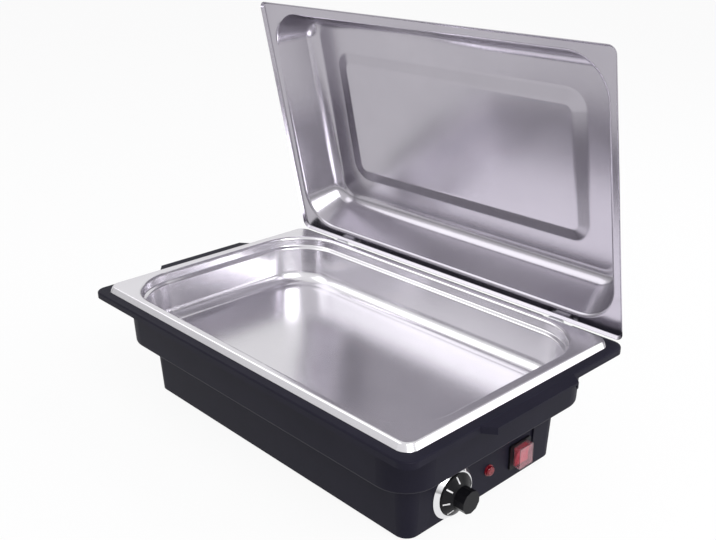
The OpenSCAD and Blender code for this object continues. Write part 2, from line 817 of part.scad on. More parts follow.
// Thermostat behind the panel
module thermostat_body() color([0.85, 0.83, 0.78]) on_panel(dial_y, dial_z) difference() {
  union() {
    translate([-thermo_h/2, -thermo_w/2, -wall - thermo_t]) cube([thermo_h, thermo_w, thermo_t]);
    for (s = [-1, 1]) translate([-tab_w/2, s*tab_y - tab_t/2, -wall - thermo_t - tab_l])
      cube([tab_w, tab_t, tab_l + joinery]);
  }
  translate([0, 0, -wall - shaft_sink - joinery]) cylinder(r = shaft_d/2 + play, h = shaft_sink + 2*joinery);
  for (s = [-1, 1]) translate([0, s*thermo_pitch/2, -wall - thermo_screw_l])
    cylinder(r = thermo_screw_r + screw_play, h = thermo_screw_l + joinery);
}

module thermostat_screws() color("gray") for (s = [-1, 1]) on_panel(dial_y + s*thermo_pitch/2, dial_z)
  mirror([0, 0, 1]) screw(thermo_screw_r, thermo_screw_l, thermo_head_r);

module thermostat_bulb() color([0.72, 0.45, 0.25]) {
  z = basin_z - spreader_t - bulb_d/2;
  x0 = (clamp_x[0] + clamp_x[1])/2 - bulb_l/2;
  x1 = x0 + bulb_l;
  x2 = panel_x - wall - thermo_t;
  turn_x = x1 + capillary_r + joinery;
  side_y = capillary_side - clamp_y;
  back_x = x2 - capillary_back;
  // The tube enters the body at its usual height, or lower where the bulb hangs low
  entry_z = min(dial_z + capillary_rise, z - 2*capillary_r - joinery);
  translate([x0, -clamp_y, z]) rotate([0, 90, 0]) cylinder(d = bulb_d, h = bulb_l);
  piped([
    [x1 - joinery, -clamp_y, z], [turn_x, -clamp_y, z], [turn_x, side_y, z], [back_x, side_y, z],
    [back_x, side_y, entry_z], [back_x, dial_y, entry_z], [x2, dial_y, entry_z]
  ], capillary_d, capillary_r);
}

// Round rod along a route of square corners, each bent to radius r
module piped(route, d, r) {
  last = len(route) - 2;
  for (k = [0:last]) {
    u = (route[k + 1] - route[k])/norm(route[k + 1] - route[k]);
    side = [u[1], u[2], u[0]];
    from = k == 0 ? 0 : r;
    upto = norm(route[k + 1] - route[k]) - (k == last ? 0 : r);
    turned(side, cross(u, side), u, route[k] + from*u) cylinder(d = d, h = upto - from);
    if (k < last) {
      w = (route[k + 2] - route[k + 1])/norm(route[k + 2] - route[k + 1]);
      turned(-w, u, cross(u, w), route[k + 1] - r*u + r*w)
        rotate_extrude(angle = 90) translate([r, 0]) circle(d = d);
    }
  }
}

// Carries a shape to p with its axes turned to x, y and z
module turned(x, y, z, p)
  multmatrix([[x[0], y[0], z[0], p[0]], [x[1], y[1], z[1], p[1]], [x[2], y[2], z[2], p[2]]]) children();

module thermostat_shaft() color("silver") on_panel(dial_y, dial_z) difference() {
  translate([0, 0, -wall - shaft_sink]) cylinder(d = shaft_d, h = wall + shaft_sink + knob_reach - knob_roof);
  translate([shaft_d/2 - flat_in, -shaft_d, dial_h + flat_start]) cube([shaft_d, 2*shaft_d, knob_reach]);
}

// Knob with a ten-sided grip on a conical skirt that carries the marks
skirt_z = dial_ledge + dial_face_t + skirt_gap;
module control_knob() color([0.1, 0.1, 0.11]) on_panel(dial_y, dial_z)
  translate([0, 0, skirt_z]) difference() {
  union() {
    cylinder(r = skirt_r, h = skirt_edge);
    translate([0, 0, skirt_edge]) cylinder(r1 = skirt_r, r2 = knob_d/2, h = skirt_h);
    cylinder(d = knob_d, h = knob_reach - skirt_z, $fn = knob_sides);
  }
  difference() {
    translate([0, 0, -joinery])
      cylinder(r = shaft_d/2 + play, h = knob_reach - knob_roof - skirt_z + flat_play + joinery);
    translate([shaft_d/2 - flat_in + play, -shaft_d, dial_h + flat_start - skirt_z + flat_play])
      cube([shaft_d, 2*shaft_d, knob_reach]);
  }
}

module dial_ring() color([0.9, 0.9, 0.92]) on_panel(dial_y, dial_z) rotate_extrude() polygon([
  [dial_in_r - ring_in, 0], [dial_d/2, 0], [dial_d/2, ring_edge], [dial_in_r + ring_top, dial_h],
  [dial_in_r, dial_h], [dial_in_r, dial_ledge], [dial_in_r - ring_in, dial_ledge]
]);

module dial_face() color([0.1, 0.1, 0.11]) on_panel(dial_y, dial_z)
  translate([0, 0, dial_ledge]) difference() {
    cylinder(r = dial_in_r - face_play, h = dial_face_t);
    translate([0, 0, -joinery]) cylinder(r = shaft_d/2 + face_room, h = dial_face_t + 2*joinery);
  }

module dial_marks() color("white") on_panel(dial_y, dial_z) for (k = [0:mark_count - 1])
  rotate(mark_first + mark_pitch*k)
    translate([mark_in - skirt_r, 0, skirt_z + skirt_edge + mark_in*tan(skirt_slope)])
      rotate([0, -skirt_slope, 0]) translate([0, -mark_w/2, 0]) cube([mark_l, mark_w, mark_t]);

// Lamp and switch
module lamp_lens() color([0.75, 0.05, 0.08]) on_panel(lamp_y, lamp_z) rotate_extrude() polygon(concat(
  [[0, 0], [lamp_d/2 + lens_collar, 0], [lamp_d/2 + lens_collar, lens_collar], [lamp_d/2, lens_neck]],
  arc([lamp_d/2 - lens_round, lens_h - lens_round], lens_round, 0, lens_turn),
  [[0, lens_h]]
));

module lamp_body() color([0.85, 0.85, 0.85]) on_panel(lamp_y, lamp_z) {
  translate([0, 0, -wall - lamp_deep]) cylinder(r = lamp_body_r, h = wall + lamp_deep);
  for (s = [-1, 1])
    translate([-lamp_tab_w/2, s*lamp_tab_y - lamp_tab_t/2, -wall - lamp_deep - lamp_tab_l])
      cube([lamp_tab_w, lamp_tab_t, lamp_tab_l + joinery]);
}

module lamp_nut() color([0.2, 0.2, 0.2]) on_panel(lamp_y, lamp_z)
  translate([0, 0, -wall - lamp_nut_h]) difference() {
    cylinder(r = lamp_d/2 + lamp_nut_w, h = lamp_nut_h);
    translate([0, 0, -joinery]) cylinder(r = lamp_body_r + nut_play, h = lamp_nut_h + 2*joinery);
  }

module switch_housing() color([0.09, 0.09, 0.1]) on_panel(switch_y, switch_z) difference() {
  union() {
    linear_extrude(bezel_t) rounded(switch_h/2, switch_w/2, bezel_r);
    translate([-switch_in_h/2, -switch_in_w/2, -switch_deep])
      cube([switch_in_h, switch_in_w, switch_deep + joinery]);
    for (i = [-1, 1], j = [-1, 1])
      translate([i*switch_tab_x - tab_w/2, j*switch_tab_y - tab_t/2, -switch_deep - switch_tab_l])
        cube([tab_w, tab_t, switch_tab_l + joinery]);
  }
  translate([-rocker_h/2 - rocker_room, -rocker_w/2 - gap, -well_h])
    cube([rocker_h + 2*rocker_room, rocker_w + 2*gap, 2*well_h]);
  translate([0, 0, pivot_out]) rotate([90, 0, 0])
    cylinder(r = pivot_r + play, h = rocker_w + 2*pivot_side + joinery, center = true);
}

module switch_rocker() color([0.8, 0.08, 0.12]) on_panel(switch_y, switch_z) translate([0, 0, pivot_out])
  rotate([0, rocker_tilt, 0]) rotate([90, 0, 0]) {
    half = rocker_h/2;
    linear_extrude(rocker_w, center = true) polygon(concat(
      [[rocker_bevel - half, -rocker_keel], [half - rocker_bevel, -rocker_keel]],
      [[half, rocker_shoulder], [half, rocker_edge]],
      [for (k = [-dish_steps:dish_steps])
        [-k*rocker_h/(2*dish_steps + 1), rocker_mid + rocker_dish*pow(k/dish_steps, 2)]],
      [[-half, rocker_edge], [-half, rocker_shoulder]]
    ));
    cylinder(r = pivot_r, h = rocker_w + 2*pivot_side, center = true);
  }

module switch_cover() color([0.95, 0.8, 0.82, 0.5]) on_panel(switch_y, switch_z)
  translate([0, 0, bezel_t]) difference() {
    linear_extrude(cover_out - bezel_t) rounded(cover_h/2, cover_w/2, cover_corner);
    translate([0, 0, -joinery]) linear_extrude(cover_out - bezel_t - cover_wall + joinery)
      rounded(cover_h/2 - cover_wall, cover_w/2 - cover_wall, cover_corner - cover_wall);
  }

module terminal_block() color([0.92, 0.92, 0.9]) translate([gland_x, block_y, cover_top]) difference() {
  translate([-block_l/2, -block_w/2, 0]) cube([block_l, block_w, block_h]);
  for (k = [-1:1]) translate([k*block_pitch, 0, block_screw_z]) {
    cylinder(d = block_screw_d, h = block_h - block_screw_z + joinery);
    translate([0, -block_w/2 - joinery, -wire_drop]) rotate([-90, 0, 0])
      cylinder(d = wire_d, h = block_w + 2*joinery);
  }
}

module cord_gland() color([0.1, 0.1, 0.1]) on_rear(gland_x, gland_z) difference() {
  union() {
    translate([0, 0, -wall - gland_in]) cylinder(r = gland_r, h = wall + gland_in + joinery);
    cylinder(d = gland_hex, h = gland_hex_h, $fn = 6);
    translate([0, 0, gland_hex_h]) cylinder(r1 = gland_cap_r, r2 = gland_r, h = gland_cap_h);
  }
  translate([0, 0, -wall - gland_in - joinery])
    cylinder(r = cord_r, h = wall + gland_in + gland_hex_h + gland_cap_h + 2*joinery);
}

module gland_nut() color([0.1, 0.1, 0.1]) on_rear(gland_x, gland_z)
  translate([0, 0, -wall - gland_nut_h]) difference() {
    cylinder(d = gland_hex, h = gland_nut_h, $fn = 6);
    translate([0, 0, -joinery]) cylinder(r = gland_r + nut_play, h = gland_nut_h + 2*joinery);
  }

// Lid, drawn shut and swung open
dome_steps = [[joinery, -dome_turn, brim_bend], [dome_run, dome_turn, crown_bend], [joinery, 0, 0]];
step_steps = [[joinery, step_turn, step_bend], [step_run, -step_turn, step_bend], [joinery, 0, 0]];
module lid() color([0.76, 0.75, 0.78]) opened() difference() {
  union() {
    round_sweep(lid_cx, lid_cy) strip(
      [[hem_lap, -90, hem_bend], [lid_mid - hem_bend - hem_z, 0, 0]],
      lid_r - sheet/2 - hem_bend - hem_lap, lid_mid, 0);
    translate([0, 0, lid_mid - sheet/2]) linear_extrude(sheet) difference() {
      rounded(lid_l/2 - lid_flat_in, lid_w/2 - lid_flat_in, lid_r - lid_flat_in);
      rounded(dome_a + lap, dome_b + lap, dome_r + lap);
    }
    round_sweep(dome_cx, dome_cy) strip(dome_steps, dome_r + joinery, lid_mid, 180);
    translate([0, 0, lid_mid + dome_h - sheet/2]) linear_extrude(sheet) difference() {
      rounded(dome_cx + crown_r - lap, dome_cy + crown_r - lap, crown_r - lap);
      rounded(panel_l/2 + lap, panel_w/2 + lap, panel_r + lap);
    }
    round_sweep(panel_cx, panel_cy) strip(step_steps, panel_r + joinery, lid_mid + dome_h, 180);
    plate(panel_cx + inner_r, panel_cy + inner_r, inner_r, lid_mid + dome_h - panel_depth - sheet/2, sheet);
  }
  for (s = [-1, 1]) translate([s*hinge_x - notch_l/2, lid_w/2 - notch_in, hem_z - joinery])
    cube([notch_l, notch_in + 2*joinery, axis_z + knuckle_d/2 + notch_room - hem_z + joinery]);
}

grip_z = panel_out + handle_h - handle_d/2;
module handle_brackets() color([0.7, 0.7, 0.72]) opened() for (s = [-1, 1])
  translate([s*handle_l/2, 0, panel_out]) mirror([s < 0 ? 1 : 0, 0, 0]) difference() {
    rotate([90, 0, 0]) linear_extrude(bracket_w, center = true) strip(
      [[bracket_foot - bracket_t/2 - bracket_bend, -90, bracket_bend], [handle_h - bracket_short, 0, 0]],
      bracket_foot, bracket_t/2, 180, bracket_t);
    translate([-2*bracket_t, 0, grip_z - panel_out]) rotate([0, 90, 0])
      cylinder(r = screw_r + bracket_play, h = 6*bracket_t);
  }

module lid_handle() color([0.09, 0.09, 0.1]) opened() translate([0, 0, grip_z]) difference() {
  along_x(handle_l - 2*handle_gap) rounded(handle_d/2, handle_d/2 + handle_wide, handle_d/2 - handle_round);
  for (k = [0, 180]) rotate(k) translate([handle_l/2 - handle_screw_l - 2*joinery, 0, 0]) rotate([0, 90, 0])
    cylinder(r = screw_r + screw_play, h = handle_screw_l + 3*joinery);
}

module handle_screws() color("gray") opened() for (k = [0, 180]) rotate(k)
  translate([handle_l/2 + bracket_t, 0, grip_z]) rotate([0, -90, 0])
    screw(screw_r, handle_screw_l, handle_head_r, handle_head_h);

// Hinges
module hinge_bracket(s) color([0.7, 0.7, 0.72]) translate([s*hinge_x, axis_y, 0]) difference() {
  union() {
    translate([-bracket_l/2, -knuckle_d/2, pocket_z]) cube([bracket_l, knuckle_d, plate_t]);
    for (i = [-1, 1]) translate([i*(knuckle_l/2 + gap + ear_t/2), 0, 0]) {
      translate([0, 0, axis_z]) rotate([0, 90, 0]) cylinder(d = knuckle_d, h = ear_t, center = true);
      translate([-ear_t/2, -knuckle_d/2, pocket_z]) cube([ear_t, knuckle_d, axis_z - pocket_z]);
    }
  }
  translate([0, 0, axis_z]) rotate([0, 90, 0]) cylinder(r = pin_d/2 + play, h = bracket_l, center = true);
  for (i = [-1, 1]) translate([i*hinge_screw_x, 0, pocket_z - joinery])
    cylinder(r = screw_r + screw_play, h = plate_t + 2*joinery);
}

module hinge_leaf(s) color([0.72, 0.72, 0.74]) opened() translate([s*hinge_x, 0, 0]) difference() {
  union() {
    translate([0, axis_y, axis_z]) rotate([0, 90, 0]) cylinder(d = knuckle_d, h = knuckle_l, center = true);
    translate([-knuckle_l/2, lid_w/2, axis_z + pin_d/2 + lap])
      cube([knuckle_l, leaf_t, lid_mid + sheet/2 + leaf_t - axis_z - pin_d/2 - lap]);
    translate([-knuckle_l/2, lid_w/2 - leaf_tab, lid_mid + sheet/2])
      cube([knuckle_l, leaf_tab + leaf_t, leaf_t]);
  }
  translate([0, axis_y, axis_z]) rotate([0, 90, 0])
    cylinder(r = pin_d/2 + play, h = knuckle_l + 2*joinery, center = true);
}

module hinge_pin(s) color([0.6, 0.6, 0.62]) translate([s*hinge_x, axis_y, axis_z]) rotate([0, 90, 0]) {
  span = knuckle_l + 2*(gap + ear_t);
  cylinder(d = pin_d, h = span + pin_head, center = true);
  for (k = [0, 180]) rotate([k, 0, 0]) translate([0, 0, span/2])
    cylinder(d = pin_d + 2*pin_head, h = pin_head);
}

module hinge_bracket_left() hinge_bracket(-1);
module hinge_bracket_right() hinge_bracket(1);
module hinge_leaf_left() hinge_leaf(-1);
module hinge_leaf_right() hinge_leaf(1);
module hinge_pin_left() hinge_pin(-1);
module hinge_pin_right() hinge_pin(1);

module hinge_screws() color("gray") for (s = [-1, 1], i = [-1, 1])
  translate([s*hinge_x + i*hinge_screw_x, axis_y, pocket_z + plate_t]) mirror([0, 0, 1])
    screw(screw_r, hinge_screw_l, hinge_head_r, hinge_head_h);

base_shell();
bottom_cover();
cover_screws();
feet();
foot_screws();
water_pan();
food_pan();
heat_spreader();
heating_element();
weld_studs();
element_clamps();
clamp_nuts();
thermal_cutout();
heat_shield();
shield_screws();
thermostat_body();
thermostat_screws();
thermostat_bulb();
thermostat_shaft();
control_knob();
dial_ring();
dial_face();
dial_marks();
lamp_lens();
lamp_body();
lamp_nut();
switch_housing();
switch_rocker();
switch_cover();
terminal_block();
cord_gland();
gland_nut();
lid();
lid_handle();
handle_brackets();
handle_screws();
hinge_bracket_left();
hinge_bracket_right();
hinge_leaf_left();
hinge_leaf_right();
hinge_pin_left();
hinge_pin_right();
hinge_screws();
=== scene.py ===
import json
import math
import bpy
from mathutils import Matrix, Quaternion, Vector


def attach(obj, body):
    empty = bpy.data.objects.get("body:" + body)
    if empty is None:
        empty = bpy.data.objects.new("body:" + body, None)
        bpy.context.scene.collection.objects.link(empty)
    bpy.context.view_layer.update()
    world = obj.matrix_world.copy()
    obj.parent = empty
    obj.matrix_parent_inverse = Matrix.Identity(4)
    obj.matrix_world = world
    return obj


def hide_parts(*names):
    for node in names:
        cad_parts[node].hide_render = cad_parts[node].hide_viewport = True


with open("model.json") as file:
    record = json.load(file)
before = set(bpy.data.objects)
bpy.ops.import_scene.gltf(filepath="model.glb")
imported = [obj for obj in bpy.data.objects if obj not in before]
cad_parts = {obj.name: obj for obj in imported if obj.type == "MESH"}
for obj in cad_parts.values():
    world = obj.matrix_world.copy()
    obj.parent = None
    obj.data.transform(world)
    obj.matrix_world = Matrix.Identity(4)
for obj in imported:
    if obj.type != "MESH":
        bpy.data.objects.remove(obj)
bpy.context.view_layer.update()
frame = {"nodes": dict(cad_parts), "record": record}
nodes = frame["nodes"]

# The pressings are drawn in millimetres and degrees, with the lid shut
MM = 0.001
SHEET = 0.8

# Food pan: half sides and corner radius of its rim and of its mouth
PAN_X = 265.0
PAN_Y = 162.5
RIM_R = 15.0
MOUTH_X = 252.0
MOUTH_Y = 153.5
MOUTH_R = 70.0
# Its section: heights, lean of the walls, stacking shoulder and bends
RIM_TOP = 151.5
PAN_DEPTH = 65.0
PAN_LEAN = 4.0
MOUTH_BEND = 4.0
NECK = 7.0
SHOULDER_TURN = 50.0
SHOULDER_BEND = 3.0
SHOULDER_RUN = 2.5
FLOOR_BEND = 18.0
# The rim's skirt slants out and ends just above the base's flange
FLANGE_TOP = 144.0
SKIRT_SLANT = 60.0
SKIRT_BEND = 3.0
SKIRT_GAP = 0.1

# Lid: half sides and corner radius over its hem, and its height over the rim
LID_X = 272.0
LID_Y = 169.0
LID_R = 10.0
LID_GAP = 0.4
LID_MID = RIM_TOP + LID_GAP + SHEET / 2
# Hem: depth, bend and slant
HEM_DEPTH = 4.0
HEM_BEND = 2.0
HEM_SLANT = 55.0
HEM_Z = LID_MID - HEM_DEPTH
# Brim and dome
BRIM_X = 10.0
BRIM_Y = 10.5
BRIM_BEND = 5.0
DOME_H = 52.0
DOME_R = 52.0
DOME_LEAN = 22.0
CROWN_BEND = 20.0
# Panel sunk into the dome's top
PANEL_X = 199.0
PANEL_Y = 96.0
PANEL_R = 28.0
PANEL_DEPTH = 4.0
STEP_TURN = 14.0
STEP_BEND = 20.0
# Hinge axis, angle of the open lid, and the notches in the hem for the hinge leaves
AXIS_Y = 169.5
AXIS_Z = 144.6
LID_OPEN = 78.5
HINGE_X = 185.0
NOTCH_HALF = 12.3
NOTCH_TOP = 148.6

# Facets: largest turn of one in a bend, and their number round a corner
BEND_FACET = 3.0
CORNER_FACETS = 20
# Points along the rear side stay within this share of it, less a step for each inner one
REAR_SHARE = 0.99
REAR_STEP = 0.02


def sin(degrees):
    return math.sin(math.radians(degrees))


def cos(degrees):
    return math.cos(math.radians(degrees))


def stations(steps, x, y, heading):
    """[(x, y, heading)] along a strip whose steps are (run, turn, bend radius)."""
    out = []
    a = heading
    for run, turn, r in steps:
        if run > 0:
            out.append((x, y, a))
        x += run * cos(a)
        y += run * sin(a)
        if turn:
            s = math.copysign(1, turn)
            cx = x - s * r * sin(a)
            cy = y + s * r * cos(a)
            n = max(2, math.ceil(abs(turn) / BEND_FACET))
            for k in range(n):
                h = a + turn * k / n
                out.append((cx + s * r * sin(h), cy - s * r * cos(h), h))
            a += turn
            x = cx + s * r * sin(a)
            y = cy - s * r * cos(a)
    out.append((x, y, a))
    return out


def ring(cx, cy, u, z, nu, nz, xs):
    """Points and normals of one loop: a rounded rectangle with extra points xs along its rear side."""
    pts = []
    corners = [(1, -1, -90), (1, 1, 0), (-1, 1, 90), (-1, -1, 180)]
    rear = 1
    for i, (sx, sy, a0) in enumerate(corners):
        for k in range(CORNER_FACETS + 1):
            a = a0 + 90 * k / CORNER_FACETS
            dx = cos(a)
            dy = sin(a)
            pts.append(((sx * cx + u * dx, sy * cy + u * dy, z), (nu * dx, nu * dy, nz)))
        if i == rear:
            for q, x in enumerate(xs):
                lim = cx * (REAR_SHARE - REAR_STEP * min(q, len(xs) - 1 - q))
                pts.append(((max(-lim, min(lim, x)), cy + u, z), (0, nu, nz)))
    return pts


def pressed(name, edge, strips, xs=(), notch=None, place=None):
    """A sheet pressing as one closed mesh with exact normals.

    edge and strips are (cx, cy, stations): the edge runs from the flat to the free edge, the strips
    run inwards. The notch leaves out its columns of the first loops from the free edge."""
    verts = []
    norms = []
    faces = []

    def side(sign):
        runs = [(edge[0], edge[1], edge[2][::-1], sign)]
        runs += [(cx, cy, path, -sign) for cx, cy, path in strips]
        loops = []
        for cx, cy, path, face in runs:
            for x, y, a in path:
                nu = -sin(a) * face
                nz = cos(a) * face
                loops.append(ring(cx, cy, x + nu * SHEET / 2, y + nz * SHEET / 2, nu, nz, xs))
        return loops

    def add(loop, normal=None):
        start = len(verts)
        for point, own in loop:
            verts.append(point)
            norms.append(normal or own)
        return list(range(start, len(verts)))

    def quad(f):
        a, b, c, d = (Vector(verts[i]) for i in f)
        want = sum((Vector(norms[i]) for i in f), Vector())
        faces.append(f if (c - a).cross(d - b).dot(want) >= 0 else f[::-1])

    outer = side(1)
    inner = side(-1)
    m = len(outer[0])
    top = notch["loops"] if notch else 0
    cols = notch["cols"] if notch else []

    # Both faces of the sheet
    for loops in (outer, inner):
        idx = [add(loop) for loop in loops]
        for k in range(len(idx) - 1):
            for j in range(m):
                j2 = (j + 1) % m
                if k >= top or j not in cols:
                    quad([idx[k][j], idx[k][j2], idx[k + 1][j2], idx[k + 1][j]])
        cap = idx[-1]
        faces.append(cap if norms[cap[0]][2] > 0 else cap[::-1])

    # Cut edge of the sheet, and the cuts round the notches
    down = (0, 0, -1)
    low_o = add(outer[0], down)
    low_i = add(inner[0], down)
    for j in range(m):
        j2 = (j + 1) % m
        if j not in cols:
            quad([low_o[j], low_o[j2], low_i[j2], low_i[j]])
    for j in cols:
        quad(add([outer[top][j], outer[top][j + 1], inner[top][j + 1], inner[top][j]], down))
        for col, nx in ((j, -1), (j + 1, 1)):
            for k in range(top):
                quad(add([outer[k][col], outer[k + 1][col], inner[k + 1][col], inner[k][col]], (nx, 0, 0)))

    move = place or Matrix.Identity(4)
    turn = move.to_3x3()
    mesh = bpy.data.meshes.new(name)
    mesh.from_pydata([(move @ Vector(v)) * MM for v in verts], [], faces)
    mesh.polygons.foreach_set("use_smooth", [True] * len(mesh.polygons))
    mesh.normals_split_custom_set_from_vertices([(turn @ Vector(q)).normalized() for q in norms])
    mesh.update()
    obj = bpy.data.objects.new(name, mesh)
    bpy.context.scene.collection.objects.link(obj)
    return obj


def slanted(depth, bend, slant):
    """Straight length and reach of a turned edge of a given depth, bend radius and slant."""
    straight = (depth - bend * (1 - cos(slant))) / sin(slant)
    return straight, bend * sin(slant) + straight * cos(slant)


def food_pan():
    """Pan with a stacking shoulder, whose rim slants out to its free edge."""
    mid = RIM_TOP - SHEET / 2
    turn = 90 - PAN_LEAN
    shoulder = SHOULDER_TURN + PAN_LEAN
    drop = (PAN_DEPTH - SHEET - MOUTH_BEND * sin(turn) - NECK * cos(PAN_LEAN)
            - 2 * SHOULDER_BEND * (sin(shoulder) - sin(PAN_LEAN)) - SHOULDER_RUN * cos(shoulder)
            - FLOOR_BEND * (1 - sin(PAN_LEAN)))
    fall, reach = slanted(mid - FLANGE_TOP - SKIRT_GAP, SKIRT_BEND, SKIRT_SLANT)
    edge = (PAN_X - RIM_R, PAN_Y - RIM_R, stations(
        [(0, -SKIRT_SLANT, SKIRT_BEND), (fall, 0, 0)], RIM_R - SHEET / 2 - reach, mid, 0))
    body = (MOUTH_X - MOUTH_R, MOUTH_Y - MOUTH_R, stations(
        [(0, turn, MOUTH_BEND), (NECK, -SHOULDER_TURN, SHOULDER_BEND),
         (SHOULDER_RUN, SHOULDER_TURN, SHOULDER_BEND),
         (drop / cos(PAN_LEAN), -turn, FLOOR_BEND), (0, 0, 0)], MOUTH_R, mid, 180))
    return pressed("food_pan_skin", edge, [body])


def lid():
    """Lid with a slanted hem, shaped shut and swung open about the hinge."""
    turn = 90 - DOME_LEAN
    run = (DOME_H - (BRIM_BEND + CROWN_BEND) * (1 - cos(turn))) / cos(DOME_LEAN)
    step_run = (PANEL_DEPTH - 2 * STEP_BEND * (1 - cos(STEP_TURN))) / sin(STEP_TURN)
    straight, reach = slanted(LID_MID - HEM_Z, HEM_BEND, HEM_SLANT)
    cut = slanted(LID_MID - NOTCH_TOP, HEM_BEND, HEM_SLANT)[0]
    edge = (LID_X - LID_R, LID_Y - LID_R, stations(
        [(0, -HEM_SLANT, HEM_BEND), (cut, 0, 0), (straight - cut, 0, 0)],
        LID_R - SHEET / 2 - reach, LID_MID, 0))
    dome = (LID_X - BRIM_X - DOME_R, LID_Y - BRIM_Y - DOME_R, stations(
        [(0, -turn, BRIM_BEND), (run, turn, CROWN_BEND), (0, 0, 0)], DOME_R, LID_MID, 180))
    step = (PANEL_X - PANEL_R, PANEL_Y - PANEL_R, stations(
        [(0, STEP_TURN, STEP_BEND), (step_run, -STEP_TURN, STEP_BEND), (0, 0, 0)],
        PANEL_R, LID_MID + DOME_H, 180))
    xs = [HINGE_X + NOTCH_HALF, HINGE_X - NOTCH_HALF, NOTCH_HALF - HINGE_X, -HINGE_X - NOTCH_HALF]
    # The rear points follow those of the two corners before them
    first = 2 * (CORNER_FACETS + 1)
    notch = {"loops": 1, "cols": [first, first + 2]}
    place = (Matrix.Translation((0, AXIS_Y, AXIS_Z)) @ Matrix.Rotation(math.radians(-LID_OPEN), 4, "X")
             @ Matrix.Translation((0, -AXIS_Y, -AXIS_Z)))
    return pressed("lid_skin", edge, [dome, step], xs, notch, place)


pan_obj = food_pan()
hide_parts("food_pan")
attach(pan_obj, "base")
lid_obj = lid()
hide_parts("lid")
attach(lid_obj, "lid")


class Nodes:
    """Small helper for building one node tree."""

    def __init__(self, tree):
        self.tree = tree

    def put(self, socket, value):
        if isinstance(value, bpy.types.NodeSocket):
            self.tree.links.new(value, socket)
        else:
            socket.default_value = value

    def new(self, kind, **inputs):
        n = self.tree.nodes.new(kind)
        for key, value in inputs.items():
            self.put(n.inputs[key.replace("_", " ")], value)
        return n

    def calc(self, operation, a, b):
        n = self.new("ShaderNodeMath")
        n.operation = operation
        self.put(n.inputs[0], a)
        self.put(n.inputs[1], b)
        return n.outputs[0]

    def span(self, value, lo, hi, f0=0.3, f1=0.7):
        """Carries value from f0..f1 to lo..hi; noise seldom leaves the default range."""
        n = self.new("ShaderNodeMapRange", Value=value, From_Min=f0, From_Max=f1, To_Min=lo, To_Max=hi)
        return n.outputs["Result"]

    def blend(self, fac, a, b):
        """Mix of the shaders a and b."""
        n = self.new("ShaderNodeMixShader", Fac=fac)
        self.put(n.inputs[1], a)
        self.put(n.inputs[2], b)
        return n.outputs["Shader"]

    def seen_rays(self):
        """1 for rays that show the background: from the eye, in reflections and through clear pieces."""
        path = self.new("ShaderNodeLightPath").outputs
        total = path["Is Camera Ray"]
        for key in ("Is Glossy Ray", "Is Transmission Ray"):
            total = self.calc("MAXIMUM", total, path[key])
        return total


# Colour sockets of the mix node
MIX_A = 6
MIX_B = 7
MIX_RESULT = 2


class Surface(Nodes):
    """Node tree of one material, with its main shader."""

    def __init__(self, name):
        self.mat = bpy.data.materials.new(name)
        self.mat.use_nodes = True
        super().__init__(self.mat.node_tree)
        self.shader = self.tree.nodes["Principled BSDF"]
        self.coord = self.tree.nodes.new("ShaderNodeTexCoord").outputs["Object"]

    def set(self, **inputs):
        for key, value in inputs.items():
            self.put(self.shader.inputs[key.replace("_", " ")], value)

    def noise(self, scale, detail=4.0, rough=0.5):
        return self.new("ShaderNodeTexNoise", Vector=self.coord, Scale=scale, Detail=detail,
                        Roughness=rough).outputs["Fac"]

    def mix(self, fac, a, b):
        """Colour between a and b."""
        n = self.new("ShaderNodeMix")
        n.data_type = "RGBA"
        self.put(n.inputs["Factor"], fac)
        self.put(n.inputs[MIX_A], (*a, 1.0))
        self.put(n.inputs[MIX_B], (*b, 1.0))
        return n.outputs[MIX_RESULT]

    def bump(self, height, strength, distance):
        n = self.new("ShaderNodeBump", Height=height, Strength=strength, Distance=distance)
        self.put(self.shader.inputs["Normal"], n.outputs["Normal"])


def plastic(name, dark, light, rough, grain, depth, gloss, smoother=0.05, duller=0.06):
    """Moulded plastic or rubber: a fine grain, and slow clouds in the colour."""
    m = Surface(name)
    cloud = m.noise(scale=18.0, detail=3.0)
    fine = m.noise(scale=grain, detail=2.0, rough=0.6)
    m.set(Base_Color=m.mix(m.span(cloud, 0.0, 1.0), dark, light),
          Roughness=m.span(fine, rough - smoother, rough + duller), Specular_IOR_Level=gloss)
    m.bump(fine, strength=0.35, distance=depth)
    return m.mat


def metal(name, dark, light, rough, grain, depth, drift=0.02):
    """Satin metal: a fine grain in the surface, and slow clouds in colour and gloss."""
    m = Surface(name)
    cloud = m.noise(scale=7.0, detail=4.0, rough=0.55)
    fine = m.noise(scale=grain, detail=2.0)
    m.set(Base_Color=m.mix(m.span(cloud, 0.0, 1.0), dark, light), Metallic=1.0,
          Roughness=m.span(cloud, rough - drift, rough + drift))
    m.bump(fine, strength=0.15, distance=depth)
    return m.mat


def glossy(name, dark, light, rough, transmission, duller=0.06, ior=1.49):
    """Smooth coloured plastic with faint flow marks, clear where light passes through it."""
    m = Surface(name)
    cloud = m.noise(scale=120.0, detail=2.0)
    smear = m.noise(scale=400.0, detail=2.0)
    wave = m.noise(scale=260.0, detail=2.0)
    m.set(Base_Color=m.mix(m.span(cloud, 0.0, 1.0), dark, light),
          Roughness=m.span(smear, rough, rough + duller), Transmission_Weight=transmission, IOR=ior)
    m.bump(wave, strength=0.08, distance=0.0002)
    return m.mat


